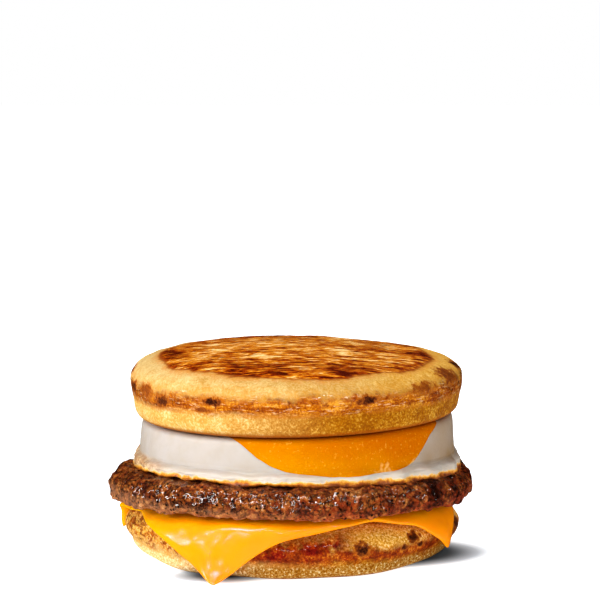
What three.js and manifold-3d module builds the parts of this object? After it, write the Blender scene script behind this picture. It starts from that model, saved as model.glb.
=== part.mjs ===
// A breakfast sandwich: a round egg, a meat patty and a cheese slice between two thick griddle cakes.
// Millimetres, +Z up, with the origin on the surface that it stands on, under the middle of its box.
// The layers are shaped level and stacked, and settle() then bends the whole stack as soft food sinks.

import * as THREE from "three";
import { mergeVertices } from "three/addons/utils/BufferGeometryUtils.js";
import Module from "manifold-3d";

// Driving dimensions. GAP is the clearance between two layers that lie on each other.
const GAP = 0.35;
const BOTTOM_CAKE = { x: 0, radius: 48, height: 14.6, foot: 42.8, band: 4.4, waist: 8.2, flat: 36, crown: 0, seed: 3 };
const TOP_CAKE = { x: 1.3, radius: 47.1, height: 17.4, foot: 44, band: 5.4, waist: 10.8, flat: 30, crown: 1.8, seed: 11 };
const TOP_LEAN = 0.05;
const CAKE_GROOVE = 0.9;
const PRESSED_FIELD = { radius: 37, depth: 0.35, edge: 2.5 };
const SLICE = { side: 89, thickness: 2.6, turn: 21, x: 0.4, y: -1.4, cells: 22, rim: 0.55, toe: 3.4, loose: 0.6 };
const SLICE_CORNERS = [
  { hang: 75, twist: -3, drawnIn: 1 },
  { hang: 80, twist: 2, drawnIn: 0 },
  { hang: 65, twist: 2, drawnIn: 0 },
  { hang: 89, twist: -5, drawnIn: 5 },
];
const SLICE_FOLD = { azimuth: 305, spread: 11, rise: 1.8 };
const PATTY = { x: -0.4, radius: 51.6, thickness: 7.4, lip: 0.35, edge: 5, relief: 0.9, lump: 5.5 };
const EGG = { x: 1.75, radius: 44.7, taper: 0.8, height: 12.3, topEdge: 1.6 };
const SKIRT = { x: 0.1, radius: 46.4, height: 2.8, ruffle: 0.7 };
const YOLK = { azimuth: 289, offset: 28, radius: 29.4, floor: 18, rise: 2.4, seam: 0.3 };

// How far the stack has sunk at its left and right, and at its front and back, and how the egg tips the top.
const SAG = { sides: 3.3, front: 0.1, reach: 52.5, power: 4 };
const TIP_SLOPE = 0.021;

// Heights of the level stack.
const SLICE_Z = BOTTOM_CAKE.height + GAP;
const PATTY_Z = SLICE_Z + SLICE.thickness + GAP;
const EGG_Z = PATTY_Z + PATTY.thickness + GAP;
const TOP_CAKE_Z = EGG_Z + EGG.height + GAP;

const { clamp, degToRad, lerp, smoothstep } = THREE.MathUtils;
const wasm = await Module();
wasm.setup();

// A number from 0 to 1 for a lattice corner, and smooth noise from -1 to 1 between the corners.
function cornerValue(i, j, k) {
  const wave = Math.sin(i * 127.1 + j * 311.7 + k * 74.7) * 43758.5453;
  return wave - Math.floor(wave);
}

function noise(x, y, z) {
  const [i, j, k] = [x, y, z].map(Math.floor);
  const [u, v, w] = [x - i, y - j, z - k].map((t) => smoothstep(t, 0, 1));
  const edge = (dj, dk) => lerp(cornerValue(i, j + dj, k + dk), cornerValue(i + 1, j + dj, k + dk), u);
  return 2 * lerp(lerp(edge(0, 0), edge(1, 0), v), lerp(edge(0, 1), edge(1, 1), v), w) - 1;
}

// Moves every vertex of a geometry by a function of its place.
function reshape(geometry, move) {
  const position = geometry.getAttribute("position");
  const point = new THREE.Vector3();
  for (let i = 0; i < position.count; i++) {
    point.fromBufferAttribute(position, i);
    move(point);
    position.setXYZ(i, point.x, point.y, point.z);
  }
  return geometry;
}

// Scales a point's distance from the Z axis, and leaves its height.
function stretchRadius(point, share) {
  point.x *= share;
  point.y *= share;
}

// A solid of revolution about Z from a profile of radius and height.
function turned(path, divisions, segments) {
  return new THREE.LatheGeometry(path.getPoints(divisions), segments).rotateX(Math.PI / 2);
}

// Rings of a flat face, close enough together to bend with the stack.
function flatRings(path, radii, height) {
  for (const radius of radii) path.lineTo(radius, height);
  return path;
}

// Bends the level stack: it sinks round its rim below the egg, and the egg's wedge tips what lies above.
function settle(point) {
  const sideSag = SAG.sides * (Math.abs(point.x) / SAG.reach) ** SAG.power;
  const frontSag = SAG.front * (Math.abs(point.y) / SAG.reach) ** SAG.power;
  const sinking = clamp(point.z / BOTTOM_CAKE.height, 0, 1);
  const tipping = clamp((point.z - EGG_Z) / EGG.height, 0, 1);
  point.z += TIP_SLOPE * point.x * tipping - (sideSag + frontSag) * sinking * (1 - tipping);
}

// A griddle cake: a flat foot, a pale lower band, a groove, a browned band and a rounded crown.
function cakeGeometry(cake, z) {
  const { radius, height, foot, band, waist, flat, crown } = cake;
  const profile = new THREE.Path()
    .moveTo(0, 0)
    .lineTo(foot, 0)
    .quadraticCurveTo(radius - CAKE_GROOVE / 2, 0.6, radius - CAKE_GROOVE, band)
    .quadraticCurveTo(radius - CAKE_GROOVE / 4, band + 0.8, radius, waist)
    .absellipse(flat, waist, radius - flat, height - waist, 0, Math.PI / 2)
    .quadraticCurveTo(flat / 2, height + crown, 0, height + crown);
  return reshape(turned(profile, 4, 60), (point) => {
    const angle = Math.atan2(point.y, point.x);
    const wobble = noise(2 * Math.cos(angle), 2 * Math.sin(angle), point.z / 9 + cake.seed);
    stretchRadius(point, 1 + 0.008 * wobble);
    point.x += cake.x;
    point.z += z;
  });
}

// The top cake's crown is pressed a little flatter where it lay on the griddle.
function topCakeGeometry() {
  const { radius, depth, edge } = PRESSED_FIELD;
  const crown = TOP_CAKE_Z + TOP_CAKE.waist;
  return reshape(cakeGeometry(TOP_CAKE, TOP_CAKE_Z), (point) => {
    const reach = Math.hypot(point.x - TOP_CAKE.x, point.y);
    if (point.z > crown) point.z -= depth * (1 - smoothstep(reach, radius - edge, radius + edge));
    point.z -= (TOP_LEAN * (point.z - TOP_CAKE_Z) * point.x) / TOP_CAKE.radius;
  });
}

// The line that the cheese follows outwards over the bottom cake: along its flat top, round its shoulder until
// it is as steep as it hangs, straight down, and out along the table if it reaches that far.
function drapeLine(hang) {
  const { radius, height, waist, flat } = BOTTOM_CAKE;
  const lift = GAP + SLICE.thickness / 2;
  const across = radius - flat;
  const drop = height - waist;
  const leaves = Math.atan((Math.tan(hang) * across) / drop);
  const line = new THREE.Path().moveTo(0, height + lift).lineTo(flat, height + lift);
  const steps = 12;
  for (let i = 1; i <= steps; i++) {
    const turn = (leaves * i) / steps;
    const outward = new THREE.Vector2(drop * Math.sin(turn), across * Math.cos(turn));
    outward.setLength(lift + SLICE.loose * Math.min(1, (3 * i) / steps));
    line.lineTo(flat + across * Math.sin(turn) + outward.x, waist + drop * Math.cos(turn) + outward.y);
  }
  const { x, y } = line.currentPoint;
  const toe = SLICE.thickness / 2 + GAP;
  const hanging = (y - toe) / Math.tan(hang);
  const bend = 1 - SLICE.toe / (y - toe);
  line.lineTo(x + hanging * bend, lerp(y, toe, bend));
  line.quadraticCurveTo(x + hanging, toe, x + hanging + SLICE.toe, toe);
  return line.lineTo(x + hanging + 3 * SLICE.toe, toe);
}

// A square cheese slice, laid askew and draped over the bottom cake, with its corners hanging.
function sliceGeometry() {
  const { side, thickness, cells, rim, turn } = SLICE;
  const flat = new THREE.BoxGeometry(side, side, thickness, cells, cells, 1);
  return reshape(flat, (point) => {
    const edge = side / 2 - Math.max(Math.abs(point.x), Math.abs(point.y));
    const above = point.z * lerp(rim, 1, smoothstep(edge, 0, 3));
    point.z = 0;
    point.applyAxisAngle(new THREE.Vector3(0, 0, 1), degToRad(turn));
    let angle = Math.atan2(point.y + SLICE.y, point.x + SLICE.x);
    let reach = Math.hypot(point.x + SLICE.x, point.y + SLICE.y);
    const local = { hang: 0, twist: 0, drawnIn: 0 };
    SLICE_CORNERS.forEach((corner, index) => {
      const facing = Math.max(0, Math.cos(angle - degToRad(turn + 45 + 90 * index))) ** 2;
      for (const key in local) local[key] += facing * corner[key];
    });
    angle += degToRad(local.twist);
    reach -= local.drawnIn * smoothstep(reach, 36, 60);
    const line = drapeLine(degToRad(local.hang));
    const share = reach / line.getLength();
    const middle = line.getPoint(share);
    const along = line.getTangent(Math.min(share, 0.999));
    const radius = middle.x - along.y * above;
    point.set(radius * Math.cos(angle), radius * Math.sin(angle), middle.y + along.x * above);
    const aside = angle - degToRad(SLICE_FOLD.azimuth - 360);
    const fold = Math.exp(-((aside / degToRad(SLICE_FOLD.spread)) ** 2));
    point.z += SLICE_FOLD.rise * fold * smoothstep(reach, 40, 50);
  });
}

// A meat patty with a thick, craggy rim. The crags bite inwards, so that the faces stay clear of their neighbours.
function pattyGeometry() {
  const { radius, thickness, lip, edge, relief, lump } = PATTY;
  const middle = thickness / 2;
  const profile = flatRings(new THREE.Path().moveTo(0, 0), [20, 31, 40], 0)
    .quadraticCurveTo(44, -lip * 0.2, radius - edge * 0.8, -lip)
    .quadraticCurveTo(radius, -lip, radius, middle * 0.9)
    .quadraticCurveTo(radius, thickness, radius - edge, thickness);
  flatRings(profile, [40, 31, 20, 0], thickness);
  return reshape(turned(profile, 4, 88), (point) => {
    const reach = Math.hypot(point.x, point.y);
    const crag = (shift) => noise(point.x / lump + shift, point.y / lump, point.z / lump + shift);
    const swell = noise(point.x / 16, point.y / 16, 7);
    const open = smoothstep(reach, 42, radius - 2);
    const bitten = open * relief * (1 + crag(0)) * 0.5;
    const narrower = (relief * (swell + 0.8 * crag(9)) * open) / radius;
    point.z -= (Math.sign(point.z - middle) * bitten * Math.abs(point.z - middle)) / middle;
    stretchRadius(point, 1 + narrower);
    point.x += PATTY.x;
    point.z += PATTY_Z;
  });
}

// The egg as one round puck from its ring, with the thin skirt that ran out under the ring.
function eggGeometry() {
  const { radius, taper, height, topEdge } = EGG;
  const foot = radius + taper;
  const profile = flatRings(new THREE.Path().moveTo(0, 0), [20, 31, 40], 0)
    .lineTo(SKIRT.radius - 1.5, 0)
    .quadraticCurveTo(SKIRT.radius + 0.6, 0.3, SKIRT.radius, SKIRT.height * 0.5)
    .quadraticCurveTo(foot + 0.4, SKIRT.height * 0.8, foot, SKIRT.height * 1.2)
    .lineTo(lerp(foot, radius, 0.6), height * 0.6)
    .lineTo(radius, height - topEdge)
    .quadraticCurveTo(radius, height, radius - topEdge * 1.5, height);
  flatRings(profile, [31, 0], height);
  return reshape(turned(profile, 3, 72), (point) => {
    const reach = Math.hypot(point.x, point.y);
    const angle = Math.atan2(point.y, point.x);
    const inSkirt = smoothstep(reach, 42, 46) * (1 - smoothstep(point.z, SKIRT.height * 0.6, SKIRT.height * 1.5));
    const ruffle = noise(7 * Math.cos(angle), 7 * Math.sin(angle), 4);
    const swell = noise(2 * Math.cos(angle), 2 * Math.sin(angle), point.z / 8);
    stretchRadius(point, 1 + (SKIRT.ruffle * ruffle * inSkirt + 0.35 * swell) / radius);
    point.x += lerp(SKIRT.x, EGG.x, smoothstep(point.z, 0, SKIRT.height * 1.5));
    point.z += EGG_Z;
  });
}

// The yolk as a broad bowl that reaches past the egg's wall and top, where the egg's own form cuts it off.
function yolkGeometry(grown) {
  const { azimuth, offset, radius, floor, rise } = YOLK;
  const bottom = rise - grown;
  const top = EGG.height + 3;
  const profile = new THREE.Path()
    .moveTo(0, bottom)
    .lineTo(floor + grown, bottom)
    .quadraticCurveTo(lerp(floor, radius, 0.54) + grown, bottom + 0.8, radius + grown, EGG.height)
    .lineTo(radius + grown, top)
    .lineTo(0, top);
  return turned(profile, 6, 56).translate(
    EGG.x + offset * Math.cos(degToRad(azimuth)),
    offset * Math.sin(degToRad(azimuth)),
    EGG_Z,
  );
}

// A closed geometry as a solid that can be cut, and back again.
function toSolid(geometry) {
  const bare = new THREE.BufferGeometry().setIndex(geometry.index);
  bare.setAttribute("position", geometry.getAttribute("position"));
  const merged = mergeVertices(bare, 1e-3);
  const mesh = new wasm.Mesh({
    numProp: 3,
    vertProperties: merged.attributes.position.array,
    triVerts: new Uint32Array(merged.index.array),
  });
  return new wasm.Manifold(mesh);
}

function toGeometry(solid) {
  const mesh = solid.getMesh();
  const geometry = new THREE.BufferGeometry();
  geometry.setAttribute("position", new THREE.BufferAttribute(mesh.vertProperties, 3));
  geometry.setIndex(new THREE.BufferAttribute(mesh.triVerts, 1));
  geometry.computeVertexNormals();
  return geometry;
}

const egg = toSolid(eggGeometry());
const group = new THREE.Group();

function add(name, geometry, color, roughness) {
  const material = new THREE.MeshStandardMaterial({ color, roughness, metalness: 0 });
  const mesh = new THREE.Mesh(reshape(geometry, settle), material);
  mesh.name = name;
  group.add(mesh);
}

add("bottom_griddle_cake", cakeGeometry(BOTTOM_CAKE, 0), "#e0a458", 0.7);
add("cheese_slice", sliceGeometry(), "#ffb61a", 0.35);
add("meat_patty", pattyGeometry(), "#7a4528", 0.5);
add("egg_white", toGeometry(egg.subtract(toSolid(yolkGeometry(YOLK.seam)))), "#f0e6d8", 0.4);
add("egg_yolk", toGeometry(egg.intersect(toSolid(yolkGeometry(0)))), "#ff9f0a", 0.45);
add("top_griddle_cake", topCakeGeometry(), "#e3a85c", 0.65);

const middle = new THREE.Box3().setFromObject(group).getCenter(new THREE.Vector3());
group.position.set(-middle.x, -middle.y, 0);

export default group;
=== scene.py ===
"""A breakfast sandwich: a round egg, a meat patty and a cheese slice between two thick griddle cakes.

Sizes are in millimetres and turned into Blender's metres by MM. The layers are modelled level and round,
stacked on one axis, and a lattice then settles the whole stack as soft food sinks.
"""

import math

import bpy
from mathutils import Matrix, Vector


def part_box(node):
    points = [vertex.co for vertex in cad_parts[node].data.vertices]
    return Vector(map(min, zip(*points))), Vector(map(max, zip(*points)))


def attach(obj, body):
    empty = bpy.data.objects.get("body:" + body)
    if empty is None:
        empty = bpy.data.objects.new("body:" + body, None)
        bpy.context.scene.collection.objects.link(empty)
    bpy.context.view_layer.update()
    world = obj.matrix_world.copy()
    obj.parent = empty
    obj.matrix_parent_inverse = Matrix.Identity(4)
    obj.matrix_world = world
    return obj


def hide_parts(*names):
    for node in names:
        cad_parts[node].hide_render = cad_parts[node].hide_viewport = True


MM = 0.001
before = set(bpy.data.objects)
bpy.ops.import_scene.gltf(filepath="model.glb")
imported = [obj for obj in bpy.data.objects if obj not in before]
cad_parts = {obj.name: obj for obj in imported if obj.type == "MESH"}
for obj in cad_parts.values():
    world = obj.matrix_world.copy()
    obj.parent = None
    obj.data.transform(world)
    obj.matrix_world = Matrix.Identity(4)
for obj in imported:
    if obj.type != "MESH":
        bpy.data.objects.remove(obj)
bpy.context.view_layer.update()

# The stack's axis, and the heights of its level layers.
cake_low, cake_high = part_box("bottom_griddle_cake")
AXIS_X = (cake_low.x + cake_high.x) / 2 / MM
AXIS_Y = (cake_low.y + cake_high.y) / 2 / MM
AXIS = Vector((AXIS_X, AXIS_Y, 0))
BOTTOM_CAKE_HEIGHT = 14.6
PATTY_Z = 17.9
EGG_Z = 25.55
TOP_CAKE_Z = 38.2

# How far each layer reaches from its middle. The egg's skirt has a thin edge, and a roll just above it.
BOTTOM_CAKE_RADIUS = 48
PATTY_RADIUS = 51.5
SKIRT_RADIUS = 47
ROLL_RADIUS = 46.8
TOP_CAKE_RADIUS = 47.5

# How far each layer lies to the right of the axis.
PATTY_ASIDE = -0.4
EGG_ASIDE = 1.75
TOP_CAKE_ASIDE = 1.3

# How the stack settles: its sides sink below the egg, and the egg's wedge tips the top cake.
SIDE_SAG = 3.3
SAG_REACH = 52.5
SAG_POWER = 4
TIP_SLOPE = 0.021
TOP_LEAN = 0.085
LEAN_REACH = 47

# Camera: where it stands from the foot of the stack, and where the photograph shows that foot.
CAMERA_BACK = 580
CAMERA_UP = 137
PICTURE = 600
PIXELS_PER_MM = 3.45
FOOT_PIXEL = (292, 542)
SENSOR = 36


# Modelling helpers

def outward(azimuth, reach):
    """A level step away from the axis, at an azimuth in degrees from the front towards the right."""
    angle = math.radians(azimuth)
    return Vector((reach * math.sin(angle), -reach * math.cos(angle), 0))


def only(piece):
    """Selects this object alone and makes it active."""
    bpy.ops.object.select_all(action="DESELECT")
    piece.select_set(True)
    bpy.context.view_layer.objects.active = piece


def edit_points(piece, chosen=()):
    """Opens a piece in edit mode with only these points selected, each given by its index."""
    only(piece)
    bpy.ops.object.mode_set(mode="EDIT")
    bpy.ops.mesh.select_mode(type="VERT")
    bpy.ops.mesh.select_all(action="DESELECT")
    bpy.ops.object.mode_set(mode="OBJECT")
    for index in chosen:
        piece.data.vertices[index].select = True
    bpy.ops.object.mode_set(mode="EDIT")


def smoothstep(value, low, high):
    """0 below low, 1 above high, and an even rise between them."""
    share = min(1, max(0, (value - low) / (high - low)))
    return share * share * (3 - 2 * share)


def curve(start, control, end, count):
    """Points along a quadratic curve, without its start."""
    steps = [i / count for i in range(1, count + 1)]
    return [
        tuple((1 - t) ** 2 * a + 2 * t * (1 - t) * b + t * t * c for a, b, c in zip(start, control, end))
        for t in steps
    ]


def quarter(centre, across, up, count):
    """Points along a quarter of an ellipse, from its side to its top, without its start."""
    turns = [math.radians(90 * i / count) for i in range(1, count + 1)]
    return [(centre[0] + across * math.cos(turn), centre[1] + up * math.sin(turn)) for turn in turns]


def turned(name, outline, floor, steps):
    """Spins an outline of (radius, height) points about the stack's axis."""
    bpy.ops.object.select_all(action="DESELECT")
    radius, height = outline[0]
    start = Vector((AXIS_X + radius, AXIS_Y, floor + height)) * MM
    bpy.ops.mesh.primitive_plane_add(size=MM, location=start)
    piece = bpy.context.object
    piece.name = name
    bpy.ops.object.mode_set(mode="EDIT")
    bpy.ops.mesh.merge(type="CENTER")
    for (r0, z0), (r1, z1) in zip(outline, outline[1:]):
        step = Vector((r1 - r0, 0, z1 - z0)) * MM
        bpy.ops.mesh.extrude_region_move(TRANSFORM_OT_translate={"value": step})
    bpy.ops.mesh.select_all(action="SELECT")
    bpy.ops.mesh.spin(steps=steps, angle=math.tau, center=AXIS * MM, axis=(0, 0, 1))
    bpy.ops.mesh.select_all(action="SELECT")
    bpy.ops.mesh.remove_doubles(threshold=0.02 * MM)
    bpy.ops.mesh.normals_make_consistent(inside=False)
    bpy.ops.object.mode_set(mode="OBJECT")
    bpy.ops.object.transform_apply(location=True, rotation=True, scale=True)
    return piece


def modify(piece, kind, **settings):
    """Adds a modifier with these settings and applies it."""
    modifier = piece.modifiers.new(kind.title(), kind)
    for setting, value in settings.items():
        setattr(modifier, setting, value)
    only(piece)
    bpy.ops.object.modifier_apply(modifier=modifier.name)


def smooth_cage(piece, levels):
    """Rounds a coarse cage by subdividing it that many times."""
    modify(piece, "SUBSURF", levels=levels, render_levels=levels)


def push(piece, place, step, reach):
    """Moves the point nearest to a place, and less and less of what lies around it, out to that reach."""
    target = (Vector(place) + AXIS) * MM
    nearest = min(piece.data.vertices, key=lambda vertex: (vertex.co - target).length)
    edit_points(piece, [nearest.index])
    bpy.ops.transform.translate(
        value=Vector(step) * MM,
        use_proportional_edit=True,
        proportional_edit_falloff="SMOOTH",
        proportional_size=reach * MM,
    )
    bpy.ops.object.mode_set(mode="OBJECT")


def push_each(piece, moves):
    """Makes the pushes of a table in turn: a place, how far that goes, and the reach."""
    for place, step, reach in moves:
        push(piece, place, step, reach)


def weigh(piece, name, weight):
    """A vertex group whose weights come from a function of a point's radius and height."""
    group = piece.vertex_groups.new(name=name)
    for vertex in piece.data.vertices:
        x = vertex.co.x / MM - AXIS_X
        y = vertex.co.y / MM - AXIS_Y
        group.add([vertex.index], weight(math.hypot(x, y), vertex.co.z / MM), "REPLACE")


def relief(
    piece, size, depth, layers=1, group="", basis="ORIGINAL_PERLIN",
    stretch=(1, 1, 1), direction="NORMAL", seed=0,
):
    """Raises and sinks a surface by procedural noise of that grain size, over that depth in all."""
    texture = bpy.data.textures.new(f"{piece.name}_relief", "CLOUDS")
    texture.noise_basis = basis
    texture.noise_scale = size * MM
    texture.noise_depth = layers
    bpy.ops.object.empty_add()
    ruler = bpy.context.object
    ruler.scale = stretch
    ruler.location = (seed, 0, 0)
    bpy.context.view_layer.update()
    modify(
        piece,
        "DISPLACE",
        texture=texture,
        texture_coords="OBJECT",
        texture_coords_object=ruler,
        strength=depth * MM,
        mid_level=0.5,
        vertex_group=group,
        direction=direction,
    )
    bpy.data.objects.remove(ruler)


def close_collar(piece):
    """Extrudes the two open edges of a collar inwards and closes them on the stack's axis."""
    edit_points(piece)
    bpy.ops.mesh.select_non_manifold(
        extend=False,
        use_wire=False,
        use_boundary=True,
        use_multi_face=False,
        use_non_contiguous=False,
        use_verts=False,
    )
    for share in (0.9, 0.7, 0.5):
        bpy.ops.mesh.extrude_region_move()
        bpy.ops.transform.resize(value=(share, share, 1), center_override=AXIS * MM)
    bpy.ops.mesh.extrude_region_move()
    bpy.ops.mesh.merge(type="COLLAPSE")
    bpy.ops.mesh.select_all(action="SELECT")
    bpy.ops.mesh.normals_make_consistent(inside=False)
    bpy.ops.object.mode_set(mode="OBJECT")


def settling_lattice():
    """A cage round the stack that sinks its sides below the egg, and tips and leans the top cake.

    Its levels are the floor, half way up to the egg, the egg's foot, the top cake's foot and two more above.
    """
    bpy.ops.object.select_all(action="DESELECT")
    levels = 5
    step = EGG_Z / 2
    width = 2.2 * SAG_REACH
    height = levels * step
    bpy.ops.object.add(type="LATTICE", location=Vector((AXIS_X, AXIS_Y, height / 2)) * MM)
    lattice = bpy.context.object
    lattice.scale = Vector((width, width, height)) * MM
    cage = lattice.data
    cage.points_u = 15
    cage.points_v = 2
    cage.points_w = levels + 1
    cage.interpolation_type_u = "KEY_CARDINAL"
    cage.interpolation_type_v = "KEY_LINEAR"
    cage.interpolation_type_w = "KEY_LINEAR"
    for point in cage.points:
        x = point.co.x * width
        level = round((point.co.z + 0.5) * levels)
        sag = SIDE_SAG * (abs(x) / SAG_REACH) ** SAG_POWER
        tip = TIP_SLOPE * x
        lean = TOP_LEAN * step * x / LEAN_REACH
        rise = (0, -sag, -sag, tip, tip - lean, tip - 2 * lean)[level]
        point.co_deform.z = point.co.z + rise / height
    return lattice


def settle(piece, aside):
    """Slides a level piece to its place in the stack, and lets it sink with the rest."""
    only(piece)
    bpy.ops.transform.translate(value=(aside * MM, 0, 0))
    bpy.ops.object.transform_apply(location=True, rotation=True, scale=True)
    modify(piece, "LATTICE", object=SETTLING)


def rest_on_floor(piece):
    """Presses flat whatever reaches below the surface that the sandwich stands on."""
    touching = 0.15 * MM
    edit_points(piece, [vertex.index for vertex in piece.data.vertices if vertex.co.z < touching])
    bpy.ops.transform.resize(value=(1, 1, 0), center_override=(0, 0, 0))
    bpy.ops.object.mode_set(mode="OBJECT")


def hand_over(piece, node, finish):
    """Gives a finished piece its material and its body, and hides the CAD node that it stands for."""
    only(piece)
    bpy.ops.object.shade_smooth()
    piece.data.materials.clear()
    piece.data.materials.append(finish.material)
    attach(piece, "root")
    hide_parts(node)


# Shader helpers

def paint(code):
    """A colour written as six hex digits, as Blender's linear RGBA."""
    parts = [int(code[i : i + 2], 16) / 255 for i in (0, 2, 4)]
    return [c / 12.92 if c <= 0.04045 else ((c + 0.055) / 1.055) ** 2.4 for c in parts] + [1]


def set_stops(ramp, stops):
    """Gives a colour ramp its stops: each a position and a colour."""
    while len(ramp.elements) < len(stops):
        ramp.elements.new(0.5)
    for element, (position, code) in zip(ramp.elements, stops):
        element.position = position
        element.color = paint(code)


class Value:
    """A shader socket that Python's operators turn into Math nodes."""

    def __init__(self, finish, socket):
        self.finish = finish
        self.socket = socket

    def maths(self, operation, *values):
        """Adds a Math node that works on these values."""
        return self.finish.node("ShaderNodeMath", {"operation": operation}, dict(enumerate(values)))

    def __add__(self, other):
        return self.maths("ADD", self, other)

    def __sub__(self, other):
        return self.maths("SUBTRACT", self, other)

    def __rsub__(self, other):
        return self.maths("SUBTRACT", other, self)

    def __mul__(self, other):
        return self.maths("MULTIPLY", self, other)

    def __truediv__(self, other):
        return self.maths("DIVIDE", self, other)

    def __pow__(self, other):
        return self.maths("POWER", self, other)

    def __abs__(self):
        return self.maths("ABSOLUTE", self)

    __radd__ = __add__
    __rmul__ = __mul__

    def at_least(self, other):
        """This value, or the other where that is larger."""
        return self.maths("MAXIMUM", self, other)

    def at_most(self, other):
        """This value, or the other where that is smaller."""
        return self.maths("MINIMUM", self, other)

    def rise(self, low, high):
        """0 below low, 1 above high, and an even rise between them. With low above high it falls."""
        inputs = {"Value": self, "From Min": low, "From Max": high}
        return self.finish.node("ShaderNodeMapRange", {"interpolation_type": "SMOOTHSTEP"}, inputs)

    def band(self, low, high, edge):
        """1 between low and high, and 0 outside them, with soft edges."""
        return self.rise(low - edge, low + edge) * self.rise(high + edge, high - edge)


class Finish:
    """One material and its nodes.

    A place is in millimetres from the foot of the stack's axis, and the plan is the place without its height.
    """

    def __init__(self, name, **surface):
        self.material = bpy.data.materials.new(name)
        self.material.use_nodes = True
        self.tree = self.material.node_tree
        self.shader = self.tree.nodes["Principled BSDF"]
        for socket, value in surface.items():
            self.shader.inputs[socket.replace("_", " ")].default_value = value
        coordinates = self.node("ShaderNodeTexCoord", {}, {}, "Object")
        moved = self.vector("SUBTRACT", coordinates, AXIS * MM)
        self.place = self.vector("SCALE", moved, Scale=1 / MM)
        self.plan = self.vector("MULTIPLY", self.place, (1, 1, 0))
        axes = [self.node("ShaderNodeSeparateXYZ", {}, {0: self.place}, axis) for axis in "XYZ"]
        self.x, self.y, self.z = axes

    def node(self, kind, settings, inputs, output=0):
        """Adds a node, gives it its settings and then its inputs, and returns one of its outputs."""
        node = self.tree.nodes.new(kind)
        for setting, value in settings.items():
            if setting == "stops":
                set_stops(node.color_ramp, value)
            else:
                setattr(node, setting, value)
        for name, value in inputs.items():
            socket = node.inputs[name]
            if isinstance(value, Value):
                self.tree.links.new(value.socket, socket)
            else:
                socket.default_value = value
        return Value(self, node.outputs[output])

    def vector(self, operation, first, second=(0, 0, 0), **inputs):
        """Adds a Vector Math node that works on places or colours."""
        return self.node("ShaderNodeVectorMath", {"operation": operation}, {0: first, 1: second, **inputs})

    def away_from(self, x, y):
        """How far a place is from the upright line at x and y."""
        inputs = {0: self.plan, 1: (x, y, 0)}
        return self.node("ShaderNodeVectorMath", {"operation": "DISTANCE"}, inputs, "Value")

    def grains(self, size, seed):
        """The place counted in grains of a pattern. A size is one number, or one for each axis."""
        sizes = size if isinstance(size, tuple) else (size, size, size)
        moved = self.vector("ADD", self.place, (seed, seed * 1.7, seed * 2.3))
        return self.vector("DIVIDE", moved, sizes)

    def noise(self, size, detail=2, roughness=0.5, seed=0, distortion=0):
        """Soft noise from 0 to 1 with grains of that many millimetres."""
        inputs = {
            "Vector": self.grains(size, seed),
            "Scale": 1,
            "Detail": detail,
            "Roughness": roughness,
            "Distortion": distortion,
        }
        return self.node("ShaderNodeTexNoise", {}, inputs)

    def drift(self, reach, size, detail=2, roughness=0.5, seed=0):
        """Soft noise on both sides of zero, over that reach in all."""
        return (self.noise(size, detail, roughness, seed) - 0.5) * reach

    def lines(self, size, seed):
        """Thin winding lines round patches of that many millimetres: 1 on a line and 0 beside it."""
        return abs(self.noise(size, 3, 0.6, seed) - 0.5).rise(0.05, 0)

    def cells(self, size, seed):
        """Distance from the middles of cells of that many millimetres."""
        inputs = {"Vector": self.grains(size, seed), "Scale": 1}
        return self.node("ShaderNodeTexVoronoi", {}, inputs, "Distance")

    def ramp(self, value, stops):
        """The colour at a value from 0 to 1 among a ramp's stops."""
        return self.node("ShaderNodeValToRGB", {"stops": stops}, {"Fac": value}, "Color")

    def mix(self, share, first, second):
        """One colour turning into another by a share from 0 to 1. Six hex digits also make a colour."""
        colours = [paint(colour) if isinstance(colour, str) else colour for colour in (first, second)]
        return self.node("ShaderNodeMix", {"data_type": "RGBA"}, {0: share, 6: colours[0], 7: colours[1]}, 2)

    def tinted(self, colour, *tints):
        """A colour with tints laid over it in turn, each by its share from 0 to 1."""
        for share, code in tints:
            colour = self.mix(share, colour, code)
        return colour

    def left_to_right(self, tone, left, right, start, end):
        """A tone in the left side's colours that turns into the right side's from one x to another."""
        return self.mix(self.x.rise(start, end), self.ramp(tone, left), self.ramp(tone, right))

    def give(self, socket, value):
        """Links a value to one of the shader's sockets."""
        self.tree.links.new(value.socket, self.shader.inputs[socket])

    def bump(self, height, depth, strength=1, below=None):
        """A bumped normal for a height from 0 to 1 over that many millimetres."""
        inputs = {"Height": height, "Distance": depth * MM, "Strength": strength}
        if below:
            inputs["Normal"] = below
        return self.node("ShaderNodeBump", {}, inputs, "Normal")


# Materials

# Colours of grain, from its darkest pores to its palest points. Left and right are as seen from the front.
CRUMB_LEFT = ((0, "c48836"), (0.35, "d09b46"), (0.7, "d9ae62"), (1, "e6c68c"))
# The right-hand crumb is darker by painted shade, as well as richer in colour.
CRUMB_RIGHT_PAINTED_SHADE = ((0, "844400"), (0.35, "985400"), (0.7, "b0700a"), (1, "d09c38"))
TOASTED = ((0, "5c1c00"), (0.25, "7e3200"), (0.5, "9a4600"), (0.75, "b66200"), (1, "e0982a"))
GOLDEN_LEFT = ((0, "a05c10"), (0.35, "da982e"), (0.7, "f0bc58"), (1, "ffe4a8"))
GOLDEN_RIGHT = ((0, "ae5e08"), (0.35, "dc962a"), (0.7, "f2be5c"), (1, "ffe6aa"))
FOOT_LEFT = ((0, "bc8238"), (0.4, "e4b26c"), (1, "fff0c4"))
# The foot's colours on the right are painted shade.
FOOT_PAINTED_SHADE = ((0, "642e00"), (0.35, "945808"), (0.7, "b08840"), (1, "f0d8aa"))
BROWNED = ((0, "4c1000"), (0.35, "782400"), (0.7, "a04000"), (1, "d88420"))
STAINED = ((0, "420200"), (0.4, "740c00"), (0.75, "a02c00"), (1, "dc7a1c"))
MEAT = ((0, "100200"), (0.25, "3c1206"), (0.45, "762d0c"), (0.65, "a8581e"), (0.85, "cc8442"), (1, "e8ba8a"))

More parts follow.
